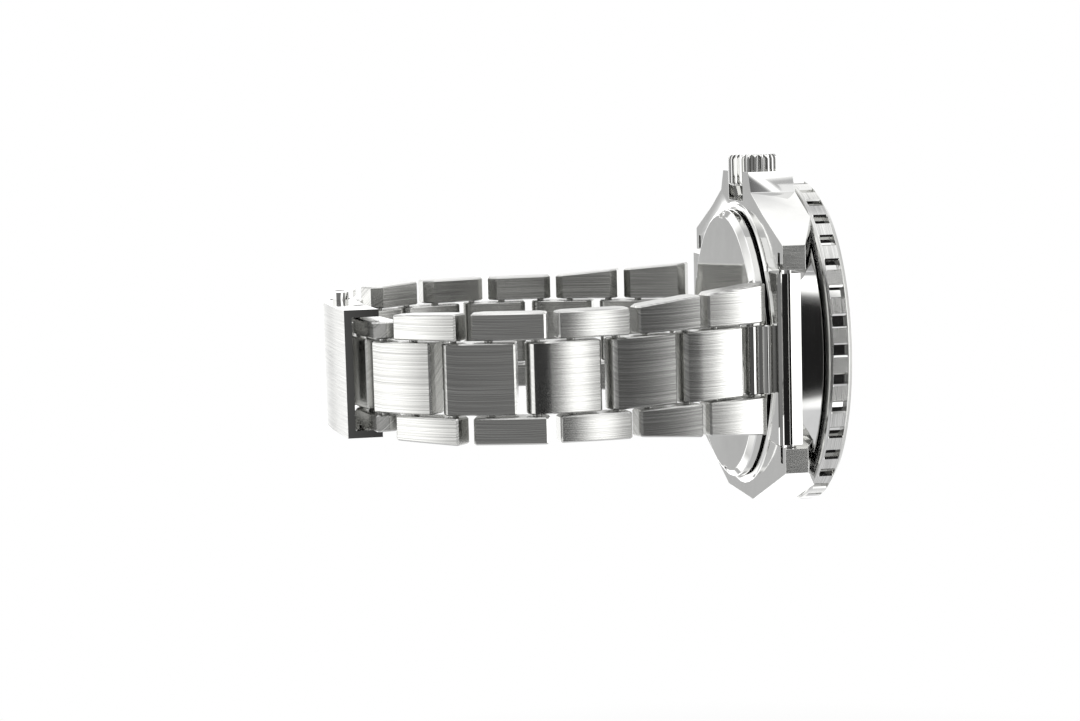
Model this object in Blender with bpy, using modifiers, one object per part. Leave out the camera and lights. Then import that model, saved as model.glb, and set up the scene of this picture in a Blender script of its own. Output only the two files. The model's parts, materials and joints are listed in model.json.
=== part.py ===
"""Diver's watch on a three-row steel bracelet with a folding clasp.

Working frame of the watch, under the empty "watch": x points to 3 o'clock, y to 12 o'clock
and z out of the dial, with the origin at the middle of the case back's outer face. The empty
turns that frame so that the dial faces world +X and the crown world +Z. Sizes are millimetres.
"""

import math

import bmesh
import bpy
from mathutils import Matrix, Vector

MM = 0.001

# Clearance between neighbouring pieces, and round a pin in its bore
GAP = 0.3

# Case
CASE_RADIUS = 19.5
CASE_BOTTOM = 1.8
CASE_TOP = 8.05
CASE_CHAMFER_TOP = 3.4
NECK_RADIUS = 17.2
NECK_TOP = 11.4
CAVITY_RADIUS = 14.9
BACK_BORE_RADIUS = 16.1
BACK_SEAT_RADIUS = 17.4
LUG_GAP = 22.0
LUG_WIDTH = 3.0
LUG_END = 23.0
LUG_TIP_TOP = 4.9
GUARD_REACH = 22.5
GUARD_WIDTH = 3.4

# Bezel
BEZEL_RADIUS = 21.0
BEZEL_LIP_TOP = 11.45
BEZEL_WALL_TOP = 10.85
BEZEL_SLOTS = 36
SLOT_WIDTH = 1.05
SLOT_DEPTH = 0.8
SLOT_FROM = 8.9
SLOT_TO = 10.75
SLOT_PHASE = math.radians(1.9)
INSERT_WIDTH = 1.6
INSERT_THICKNESS = 0.4
PIP_RADIUS = 0.5

# Crystal, dial, hands and movement
CRYSTAL_RADIUS = 14.9
CRYSTAL_TOP = 12.3
CRYSTAL_THICKNESS = 2.0
DIAL_TOP = 8.0
DIAL_THICKNESS = 0.4
POST_RADIUS = 0.5
MOVEMENT_RADIUS = 12.9
MOVEMENT_BOTTOM = 3.0
HAND_LENGTHS = {"hour_hand": 8.0, "minute_hand": 12.0, "seconds_hand": 12.4}
HAND_WIDTHS = {"hour_hand": 1.6, "minute_hand": 1.2, "seconds_hand": 0.4}

# Crown
CROWN_HEIGHT = 4.4
CROWN_RADIUS = 3.2
CROWN_START = 20.6
CROWN_LENGTH = 4.1
CROWN_FLUTES = 22
STEM_RADIUS = 0.5
TUBE_RADIUS = 1.3

# Spring bars at the lugs
BAR_RADIUS = 0.7
BAR_PLACE = (21.1, 2.9)

# Bracelet. Headings are angles from straight down, positive outwards
LINK_PITCH = 9.8
LINK_THICKNESS = 3.4
LINK_SLIT = 1.0
OUTER_HEAD = 1.4
CENTRE_TAIL = 1.25
CENTRE_WIDTH = 8.5
PIN_RADIUS = 0.5
FIRST_PIN = (20.4, -1.6)
HEADINGS_12 = (24, 20, 6, -14, -40, -78)
HEADINGS_6 = (24, 20, 6, -14, -40)
WIDTHS = (18.7, 17.2, 15.6, 15.5, 15.5, 15.0)
SCREWED_LINKS = {"12": (5, 6), "6": (4, 5)}

# Clasp
COVER_WIDTH = 15.6
COVER_WALL = 0.9
COVER_DEPTH = 4.2
COVER_SAG = 1.6
COVER_OVERHANG = 6.8
COVER_ROOM = 1.4
BLADE_THICKNESS = 1.0
KNUCKLE_RADIUS = 1.2
FORK_WALL = 1.2
BUTTON_RADIUS = 1.1
BUTTON_PROUD = 0.9
BUTTON_TRAVEL = 0.5
BUTTON_COLLAR = 0.7

# Worked out from the sizes above
BORE_RADIUS = PIN_RADIUS + GAP
CLASP_LINK_WIDTH = COVER_WIDTH - 2 * (COVER_WALL + GAP)
BLADE_WIDTH = CLASP_LINK_WIDTH - 2 * (BUTTON_COLLAR + BUTTON_TRAVEL + GAP)
TURN_STEPS = 48


# ---------------------------------------------------------------- scene and materials

for old in list(bpy.data.objects):
    bpy.data.objects.remove(old, do_unlink=True)

PARTS = bpy.data.collections.new("divers_watch")
CUTTERS = bpy.data.collections.new("cutters")
for group in (PARTS, CUTTERS):
    bpy.context.scene.collection.children.link(group)


def material(name, colour, roughness, metallic=1.0, alpha=1.0):
    """Principled material with one colour, given as linear red, green and blue."""
    made = bpy.data.materials.new(name)
    made.use_nodes = True
    shader = made.node_tree.nodes["Principled BSDF"]
    shader.inputs["Base Color"].default_value = (*colour, 1.0)
    shader.inputs["Roughness"].default_value = roughness
    shader.inputs["Metallic"].default_value = metallic
    shader.inputs["Alpha"].default_value = alpha
    made.diffuse_color = (*colour, alpha)
    return made


BRUSHED = material("brushed_steel", (0.56, 0.56, 0.57), 0.32)
POLISHED = material("polished_steel", (0.72, 0.72, 0.73), 0.08)
GASKET = material("gasket_rubber", (0.02, 0.02, 0.02), 0.8, metallic=0.0)
BLACK_INSERT = material("black_insert", (0.012, 0.012, 0.014), 0.25, metallic=0.0)
BLACK_DIAL = material("black_dial", (0.01, 0.01, 0.012), 0.5, metallic=0.0)
LUME = material("lume", (0.78, 0.83, 0.72), 0.6, metallic=0.0)
SAPPHIRE = material("sapphire_crystal", (0.9, 0.93, 0.95), 0.02, metallic=0.0, alpha=0.35)
RHODIUM = material("rhodium_plate", (0.6, 0.6, 0.58), 0.25)
HOLDER_PLASTIC = material("holder_plastic", (0.75, 0.75, 0.72), 0.5, metallic=0.0)


# ---------------------------------------------------------------- shape helpers

def empty(name, parent=None, location=(0, 0, 0), rotation=(0, 0, 0)):
    """Empty that carries pieces; a joint's empty stands on its axis."""
    holder = bpy.data.objects.new(name, None)
    PARTS.objects.link(holder)
    holder.parent = parent
    holder.location = Vector(location) * MM
    holder.rotation_euler = rotation
    return holder


def place(name, mesh, finish, parent):
    """Object made of a mesh in millimetres, scaled to metres and shaded smooth by angle."""
    mesh.transform(Matrix.Scale(MM, 4))
    piece = bpy.data.objects.new(name, mesh)
    PARTS.objects.link(piece)
    piece.parent = parent
    mesh.materials.append(finish)
    mesh.shade_smooth()
    mesh.set_sharp_from_angle(angle=math.radians(35))
    return piece


def mesh_of(bm, name):
    """Mesh of a bmesh, with its faces turned outwards."""
    bmesh.ops.recalc_face_normals(bm, faces=bm.faces)
    mesh = bpy.data.meshes.new(name)
    bm.to_mesh(mesh)
    bm.free()
    return mesh


def turned(name, profile, finish, parent, ring=True, steps=TURN_STEPS):
    """Profile of (radius, z) turned about z; a ring's profile closes on itself."""
    bm = bmesh.new()
    points = [bm.verts.new((radius, 0, height)) for radius, height in profile]
    for first, second in zip(points, points[1:]):
        bm.edges.new((first, second))
    if ring:
        bm.edges.new((points[-1], points[0]))
    mesh = bpy.data.meshes.new(name)
    bm.to_mesh(mesh)
    bm.free()
    piece = place(name, mesh, finish, parent)
    screw = piece.modifiers.new("turn", "SCREW")
    screw.axis = "Z"
    screw.angle = math.tau
    screw.steps = steps
    screw.render_steps = steps
    screw.use_merge_vertices = True
    screw.merge_threshold = 0.000001
    screw.use_smooth_shade = True
    return piece


def circle(radius, sides, centre=(0, 0), start=0.0):
    """Points round a circle."""
    return [
        (centre[0] + radius * math.cos(start + math.tau * i / sides),
         centre[1] + radius * math.sin(start + math.tau * i / sides))
        for i in range(sides)
    ]


def arc(radius, first, last, steps, centre=(0, 0)):
    """Points along an arc between two angles in degrees, both ends included."""
    return [
        (centre[0] + radius * math.cos(math.radians(first + (last - first) * i / steps)),
         centre[1] + radius * math.sin(math.radians(first + (last - first) * i / steps)))
        for i in range(steps + 1)
    ]


def outline_mesh(name, outlines, low, high):
    """Flat outlines, the later ones holes, extruded along z between two heights."""
    curve = bpy.data.curves.new(name, "CURVE")
    curve.dimensions = "2D"
    curve.fill_mode = "BOTH"
    curve.extrude = (high - low) / 2
    for outline in outlines:
        spline = curve.splines.new("POLY")
        spline.points.add(len(outline) - 1)
        for point, (x, y) in zip(spline.points, outline):
            point.co = (x, y, 0, 1)
        spline.use_cyclic_u = True
    drawn = bpy.data.objects.new(name, curve)
    CUTTERS.objects.link(drawn)
    graph = bpy.context.evaluated_depsgraph_get()
    flat = bpy.data.meshes.new_from_object(drawn.evaluated_get(graph))
    bpy.data.objects.remove(drawn, do_unlink=True)
    bm = bmesh.new()
    bm.from_mesh(flat)
    bmesh.ops.remove_doubles(bm, verts=bm.verts, dist=0.0001)
    bmesh.ops.translate(bm, verts=bm.verts, vec=(0, 0, (low + high) / 2))
    return mesh_of(bm, name)


def plate(name, outlines, low, high, finish, parent):
    """Flat piece parallel to the dial, between two heights."""
    return place(name, outline_mesh(name, outlines, low, high), finish, parent)


def side_mesh(name, outline, low, high):
    """Outline in the (y, z) plane, extruded along x between two places."""
    mesh = outline_mesh(name, [outline], low, high)
    mesh.transform(Matrix(((0, 0, 1, 0), (1, 0, 0, 0), (0, 1, 0, 0), (0, 0, 0, 1))))
    return mesh


def prism(name, outline, low, high, finish, parent):
    """Piece with one side outline across its whole width."""
    return place(name, side_mesh(name, outline, low, high), finish, parent)


def rods(name, radius, spans, finish, parent, sides=12):
    """Round bars along x, each given as (x from, x to, y, z)."""
    bm = bmesh.new()
    for low, high, y, z in spans:
        turn = Matrix.Translation(((low + high) / 2, y, z)) @ Matrix.Rotation(math.pi / 2, 4, "Y")
        bmesh.ops.create_cone(bm, cap_ends=True, segments=sides, radius1=radius,
                              radius2=radius, depth=high - low, matrix=turn)
    return place(name, mesh_of(bm, name), finish, parent)


def boxes(name, cells, finish, parent):
    """Boxes, each given as (size, matrix)."""
    bm = bmesh.new()
    for size, matrix in cells:
        bmesh.ops.create_cube(bm, size=1.0, matrix=matrix @ Matrix.Diagonal((*size, 1.0)))
    return place(name, mesh_of(bm, name), finish, parent)


def use(target, tool, operation="DIFFERENCE"):
    """Cut a piece with a tool, or join the tool to it; the tool goes with the cutters."""
    PARTS.objects.unlink(tool)
    CUTTERS.objects.link(tool)
    tool.hide_render = True
    tool.display_type = "WIRE"
    step = target.modifiers.new(operation.lower(), "BOOLEAN")
    step.operation = operation
    step.object = tool
    return target


# ---------------------------------------------------------------- case

def case_outline():
    """Plan of the shoulders: four lugs, straight flanks and the two crown guards."""
    inner = LUG_GAP / 2
    waist = CASE_RADIUS - 0.9
    guard_in = CROWN_RADIUS + 0.5
    guard_out = guard_in + GUARD_WIDTH
    flank = CASE_RADIUS + 0.4
    lean = math.degrees(math.asin(inner / waist))
    quarter = [
        (inner, LUG_END),
        (inner + LUG_WIDTH, LUG_END),
        (inner + LUG_WIDTH + 3.4, LUG_END - 9.4),
    ]
    crown_side = quarter + [
        (flank, guard_out + 0.8),
        (GUARD_REACH, guard_out - 0.5),
        (GUARD_REACH, guard_in),
        (CASE_RADIUS - 0.8, guard_in),
    ]
    far_side = quarter + [(flank, guard_out - 0.6)]
    right = crown_side + [(x, -y) for x, y in reversed(crown_side)]
    bottom = arc(waist, -90 + lean, -90 - lean, 8)
    left = [(-x, -y) for x, y in far_side] + [(-x, y) for x, y in reversed(far_side)]
    top = arc(waist, 90 + lean, 90 - lean, 8)
    return right + bottom + left + top


def build_case(watch):
    """Middle case turned as a ring, with its shoulders joined on and every bore cut."""
    ledge = CAVITY_RADIUS - 0.7
    seat = CRYSTAL_TOP - CRYSTAL_THICKNESS - GAP
    case = turned("case_middle", [
        (NECK_RADIUS, NECK_TOP),
        (NECK_RADIUS, CASE_TOP),
        (CASE_RADIUS, CASE_TOP),
        (CASE_RADIUS, CASE_CHAMFER_TOP),
        (CASE_RADIUS - 1.2, CASE_BOTTOM),
        (BACK_SEAT_RADIUS, CASE_BOTTOM),
        (BACK_SEAT_RADIUS, CASE_BOTTOM + 0.9),
        (BACK_BORE_RADIUS, CASE_BOTTOM + 0.9),
        (BACK_BORE_RADIUS, CASE_BOTTOM + 1.8),
        (CAVITY_RADIUS, CASE_BOTTOM + 1.8),
        (CAVITY_RADIUS, seat - 0.4),
        (ledge, seat - 0.4),
        (ledge, seat),
        (CRYSTAL_RADIUS + 1.0, seat),
        (CRYSTAL_RADIUS + 1.0, NECK_TOP),
    ], POLISHED, watch)
    hole = circle(BACK_SEAT_RADIUS + 0.5, 48, start=0.04)
    shoulders = plate("case_shoulders", [case_outline(), hole], CASE_BOTTOM + 0.25,
                      CASE_TOP - 0.15, POLISHED, watch)
    drop = CASE_TOP - LUG_TIP_TOP
    run = LUG_END - 14.5
    slope = math.atan2(drop, run)
    for side in (1, -1):
        lean = Matrix.Translation((0, side * (LUG_END - run / 2), (CASE_TOP + LUG_TIP_TOP) / 2))
        tilt = lean @ Matrix.Rotation(-side * slope, 4, "X") @ Matrix.Translation((0, 0, 4))
        use(shoulders, boxes("lug_slope", [((60, 16, 8), tilt)], POLISHED, watch))
    use(case, shoulders, "UNION")
    reach = LUG_GAP / 2 + 2.0
    y, z = BAR_PLACE
    use(case, rods("bar_holes", BAR_RADIUS + GAP,
                   [(-reach, reach, y, z), (-reach, reach, -y, z)], POLISHED, watch))
    use(case, rods("tube_bore", TUBE_RADIUS + GAP,
                   [(CAVITY_RADIUS - 2, GUARD_REACH, 0, CROWN_HEIGHT)], POLISHED, watch))

    back_top = CASE_BOTTOM - GAP
    spigot = BACK_BORE_RADIUS - GAP
    back = turned("case_back", [
        (0, back_top - 0.3),
        (spigot - 1.2, back_top - 0.3),
        (spigot - 1.2, CASE_BOTTOM + 1.4),
        (spigot, CASE_BOTTOM + 1.4),
        (spigot, back_top),
        (BACK_SEAT_RADIUS + 0.2, back_top),
        (BACK_SEAT_RADIUS + 0.2, 0.6),
        (BACK_SEAT_RADIUS - 0.6, 0),
        (0, 0),
    ], POLISHED, watch, ring=False)
    keys = [
        ((1.6, 1.5, 0.8), Matrix.Rotation(math.tau * i / 6, 4, "Z")
         @ Matrix.Translation((BACK_SEAT_RADIUS - 0.1, 0, 0)))
        for i in range(6)
    ]
    use(back, boxes("key_notches", keys, POLISHED, watch))
    low = back_top + GAP
    high = CASE_BOTTOM + 0.9 - GAP
    turned("case_back_gasket", [
        (BACK_SEAT_RADIUS - GAP, high),
        (BACK_SEAT_RADIUS - GAP, low),
        (BACK_BORE_RADIUS + 0.2, low),
        (BACK_BORE_RADIUS + 0.2, high),
    ], GASKET, watch, steps=32)


# ---------------------------------------------------------------- bezel

def build_bezel(watch):
    """Turning ring with edge slots, its inlaid scale ring, the pip and the click spring."""
    axis = empty("axis_bezel", watch)
    inner = NECK_RADIUS + GAP
    bottom = CASE_TOP + GAP
    floor = BEZEL_LIP_TOP - 0.75
    seat_out = inner + 0.3 + INSERT_WIDTH + 2 * GAP
    spring_top = bottom + 0.4
    ring = turned("bezel_ring", [
        (BEZEL_RADIUS - 0.8, BEZEL_LIP_TOP),
        (BEZEL_RADIUS, BEZEL_WALL_TOP),
        (BEZEL_RADIUS, bottom + 0.25),
        (BEZEL_RADIUS - 0.2, bottom),
        (inner + 1.7, bottom),
        (inner + 1.7, spring_top + GAP),
        (inner, spring_top + GAP),
        (inner, BEZEL_LIP_TOP),
        (inner + 0.3, BEZEL_LIP_TOP),
        (inner + 0.3, floor),
        (seat_out, floor),
        (seat_out, BEZEL_LIP_TOP),
    ], POLISHED, axis, steps=72)
    middle = (SLOT_FROM + SLOT_TO) / 2
    slots = [
        ((SLOT_DEPTH * 2, SLOT_WIDTH, SLOT_TO - SLOT_FROM),
         Matrix.Rotation(math.pi / 2 - SLOT_PHASE + math.tau * i / BEZEL_SLOTS, 4, "Z")
         @ Matrix.Translation((BEZEL_RADIUS, 0, middle)))
        for i in range(BEZEL_SLOTS)
    ]
    use(ring, boxes("edge_slots", slots, POLISHED, axis))
    low = floor + GAP
    insert = turned("bezel_insert", [
        (seat_out - GAP, low + INSERT_THICKNESS),
        (seat_out - GAP, low),
        (inner + 0.3 + GAP, low),
        (inner + 0.3 + GAP, low + INSERT_THICKNESS),
    ], BLACK_INSERT, axis, steps=64)
    middle = inner + 0.3 + GAP + INSERT_WIDTH / 2
    hole = circle(PIP_RADIUS + 0.15, 12, (0, middle))
    use(insert, plate("pip_hole", [hole], low - 1, low + 2, LUME, axis))
    plate("bezel_pip", [circle(PIP_RADIUS, 12, (0, middle))], low, low + 0.5, LUME, axis)
    outer = arc(inner + 1.4, 8, 352, 30)
    back = arc(inner + 0.3, 352, 8, 30)
    plate("bezel_click_spring", [outer + back], bottom, spring_top, RHODIUM, watch)


# ---------------------------------------------------------------- crystal, dial, movement

def build_dial_side(watch):
    """Crystal and its seal, chapter ring, dial and the three hands on the centre post."""
    bottom = CRYSTAL_TOP - CRYSTAL_THICKNESS
    turned("crystal", [
        (0, CRYSTAL_TOP),
        (CRYSTAL_RADIUS - 0.5, CRYSTAL_TOP),
        (CRYSTAL_RADIUS, CRYSTAL_TOP - 0.5),
        (CRYSTAL_RADIUS, bottom),
        (0, bottom),
    ], SAPPHIRE, watch, ring=False)
    turned("crystal_gasket", [
        (CRYSTAL_RADIUS + 0.7, NECK_TOP - 0.1),
        (CRYSTAL_RADIUS + 0.7, bottom),
        (CRYSTAL_RADIUS + 0.3, bottom),
        (CRYSTAL_RADIUS + 0.3, NECK_TOP - 0.1),
    ], GASKET, watch, steps=32)
    rim = CAVITY_RADIUS - GAP
    top = CRYSTAL_TOP - CRYSTAL_THICKNESS - 2 * GAP - 0.4
    turned("chapter_ring", [
        (rim, top),
        (rim, DIAL_TOP + GAP),
        (rim - 1.3, DIAL_TOP + GAP),
        (rim - 0.7, top),
    ], BLACK_DIAL, watch)
    bore = circle(POST_RADIUS + 0.6, 12)
    plate("dial", [circle(rim, 48), bore], DIAL_TOP - DIAL_THICKNESS, DIAL_TOP, BLACK_DIAL, watch)
    for level, name in enumerate(HAND_LENGTHS):
        axis = empty("axis_" + name, watch)
        half = HAND_WIDTHS[name] / 2
        hub = 1.3
        lean = math.degrees(math.asin(half / hub))
        tip = HAND_LENGTHS[name]
        outline = arc(hub, 90 + lean, 450 - lean, 12) + [(half, tip - 1), (0, tip), (-half, tip - 1)]
        low = DIAL_TOP + 0.45 + 0.5 * level
        plate(name, [outline, circle(POST_RADIUS + GAP, 8)], low, low + 0.2, LUME, axis)


def build_movement(watch):
    """Movement with its centre post, the holder ring round it and the winding rotor below."""
    top = DIAL_TOP - DIAL_THICKNESS - GAP
    post_top = CRYSTAL_TOP - CRYSTAL_THICKNESS - GAP
    rotor_top = MOVEMENT_BOTTOM - GAP
    rotor_low = rotor_top - 0.8
    movement = turned("movement", [
        (0, post_top),
        (POST_RADIUS, post_top),
        (POST_RADIUS, top),
        (MOVEMENT_RADIUS, top),
        (MOVEMENT_RADIUS, MOVEMENT_BOTTOM),
        (POST_RADIUS + 0.2, MOVEMENT_BOTTOM),
        (POST_RADIUS + 0.2, rotor_low),
        (0, rotor_low),
    ], RHODIUM, watch, ring=False, steps=40)
    use(movement, rods("stem_bore", STEM_RADIUS + GAP,
                       [(8.5, MOVEMENT_RADIUS + 2, 0, CROWN_HEIGHT)], RHODIUM, watch, sides=8))
    rim = CAVITY_RADIUS - GAP
    holder = turned("movement_holder", [
        (rim, top),
        (rim, CASE_BOTTOM + 1.8),
        (MOVEMENT_RADIUS + GAP, CASE_BOTTOM + 1.8),
        (MOVEMENT_RADIUS + GAP, top),
    ], HOLDER_PLASTIC, watch, steps=40)
    use(holder, rods("stem_notch", STEM_RADIUS + 0.5,
                     [(10, rim + 2, 0, CROWN_HEIGHT)], HOLDER_PLASTIC, watch, sides=8))
    axis = empty("axis_rotor", watch)
    swing = rim - 1.2
    outline = arc(swing, 90, 270, 20) + arc(2.4, -90, 90, 8)
    plate("rotor", [outline, circle(POST_RADIUS + 0.2 + GAP, 10)],
          rotor_low, rotor_top, RHODIUM, axis)


# ---------------------------------------------------------------- crown

def build_crown(watch):
    """Fluted crown on its stem, sliding and turning in the tube pressed into the case."""
    tube_end = CROWN_START + 2.0
    tube = rods("crown_tube", TUBE_RADIUS,
                [(BACK_BORE_RADIUS + 0.3, tube_end, 0, CROWN_HEIGHT)], POLISHED, watch)
    use(tube, rods("tube_hole", STEM_RADIUS + GAP,
                   [(BACK_BORE_RADIUS - 1, tube_end + 1, 0, CROWN_HEIGHT)], POLISHED, watch))
    slide = empty("axis_crown", watch, (CROWN_START, 0, CROWN_HEIGHT))
    inside = 2.0 + 2 * GAP
    rods("crown_stem", STEM_RADIUS,
         [(MOVEMENT_RADIUS - 3.9 - CROWN_START, inside - GAP, 0, 0)], POLISHED, slide, sides=10)
    outline = []
    for i in range(CROWN_FLUTES * 4):
        radius = CROWN_RADIUS if i % 4 < 2 else CROWN_RADIUS - 0.35
        turn = math.tau * i / (CROWN_FLUTES * 4)
        outline.append((radius * math.cos(turn), radius * math.sin(turn)))
    crown = prism("crown", outline, 0, CROWN_LENGTH, POLISHED, slide)
    use(crown, rods("crown_bore", TUBE_RADIUS + GAP, [(-1, inside, 0, 0)], POLISHED, slide))


# ---------------------------------------------------------------- end links and spring bars

def build_end_link(side, name):
    """Curved end piece between two lugs, with the knuckle of the first bracelet pin."""
    bar_y, bar_z = BAR_PLACE
    front = bar_y + BAR_RADIUS + 0.8
    low = bar_z - 1.5
    high = bar_z + 1.5
    half = LUG_GAP / 2 - GAP
    profile = [(front - 7.6, low), (front, low), (front, high - 0.8), (front - 0.5, high),
               (front - 7.6, high)]
    body = prism("end_link_" + name, profile, -half, half, BRUSHED, side)
    use(body, plate("case_clearance", [circle(CASE_RADIUS + 0.25, 64)],
                    low - 2, high + 2, BRUSHED, side))
    pin_y, pin_z = FIRST_PIN
    radius = CENTRE_TAIL + 0.25
    knuckle = arc(radius, 0, -180, 10, FIRST_PIN)
    knuckle += [(pin_y - 1.1, low + 0.5), (pin_y + 1.1, low + 0.5)]
    use(body, prism("end_knuckle", knuckle, -CENTRE_WIDTH / 2, CENTRE_WIDTH / 2, BRUSHED, side),
        "UNION")
    use(body, rods("end_bar_bore", BAR_RADIUS + GAP, [(-half - 1, half + 1, bar_y, bar_z)],
                   BRUSHED, side))
    use(body, rods("end_pin_bore", BORE_RADIUS,
                   [(-CENTRE_WIDTH, CENTRE_WIDTH, pin_y, pin_z)], BRUSHED, side))
    reach = LUG_GAP / 2 + 2.0 - GAP
    rods("spring_bar_" + name, BAR_RADIUS, [(-reach, reach, bar_y, bar_z)], POLISHED, side)


# ---------------------------------------------------------------- bracelet links

def outer_profile():
    """Side outline of an outer link piece, hanging from its pin; outwards is +y."""
    half = LINK_THICKNESS / 2
    end = LINK_PITCH - OUTER_HEAD - LINK_SLIT
    return [
        (half - 0.25, OUTER_HEAD), (half, OUTER_HEAD - 0.25),
        (half, 0.25 - end), (half - 0.25, -end),
        (1.2 - half, -end), (-half, 1.2 - end),
        (-half, OUTER_HEAD - 0.9), (0.9 - half, OUTER_HEAD),
    ]


def centre_profile():
    """Side outline of a centre link, with the rounded tail that the next pin goes through."""
    half = LINK_THICKNESS / 2
    head = CENTRE_TAIL + LINK_SLIT
    tail = [
        (half * math.cos(math.pi * i / 8), -LINK_PITCH - CENTRE_TAIL * math.sin(math.pi * i / 8))
        for i in range(9)
    ]
    return [(0.6 - half, -head), (half - 0.25, -head), (half, -head - 0.25)] + tail + [
        (-half, -head - 0.6)]


def build_link(axis, name, near, far, screwed):
    """Outer pair with its cross pins, the centre link between them, and a loose pin if any."""
    inner = CENTRE_WIDTH / 2 + GAP
    press = -(LINK_PITCH + CENTRE_TAIL) / 2
    bm = bmesh.new()
    for side in (1, -1):
        low, high = sorted((side * inner, side * near / 2))
        half = side_mesh("outer_half", outer_profile(), low, high)
        bm.from_mesh(half)
        bpy.data.meshes.remove(half)
    length = LINK_PITCH - LINK_SLIT
    for corner in bm.verts:
        if abs(corner.co.x) > inner + 0.1:
            share = (OUTER_HEAD - corner.co.z) / length
            width = near + (far - near) * share
            corner.co.x = math.copysign(width / 2, corner.co.x)
    pair = place("outer_pair_" + name, mesh_of(bm, "outer_pair_" + name), BRUSHED, axis)
    bite = inner + 0.8
    spans = [(-bite, bite, 0, press)]
    if screwed:
        reach = near / 2
        use(pair, rods("screw_bore", BORE_RADIUS, [(-reach - 1, reach + 1, 0, 0)], BRUSHED, axis))
        rods("link_screw_" + name, PIN_RADIUS, [(0.3 - reach, reach - 0.3, 0, 0)], POLISHED, axis)
    else:
        spans.append((-bite, bite, 0, 0))
    use(pair, rods("cross_pins", PIN_RADIUS, spans, BRUSHED, axis), "UNION")
    half = CENTRE_WIDTH / 2
    centre = prism("centre_link_" + name, centre_profile(), -half, half, BRUSHED, axis)
    bores = [(-half - 1, half + 1, 0, press), (-half - 1, half + 1, 0, -LINK_PITCH)]
    use(centre, rods("pin_bores", BORE_RADIUS, bores, BRUSHED, axis))


def build_chain(side, name, headings):
    """Links hung one from another, each turned to its own heading."""
    holder = side
    place_at = (0, *FIRST_PIN)
    last = 0
    for number, heading in enumerate(headings, 1):
        turn = math.radians(heading - last)
        holder = empty(f"axis_link_{name}_{number}", holder, place_at, (turn, 0, 0))
        screwed = number in SCREWED_LINKS[name]
        near, far = (WIDTHS + (CLASP_LINK_WIDTH,) * 2)[number - 1:number + 1]
        if number == len(WIDTHS):
            near = far
        build_link(holder, f"{name}_{number}", near, far, screwed)
        place_at = (0, 0, -LINK_PITCH)
        last = heading
    return holder


def chain_end(headings):
    """Place (y, z) of the pin at the free end of a chain."""
    y, z = FIRST_PIN
    for heading in headings:
        y += LINK_PITCH * math.sin(math.radians(heading))
        z -= LINK_PITCH * math.cos(math.radians(heading))
    return y, z


# ---------------------------------------------------------------- clasp

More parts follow.
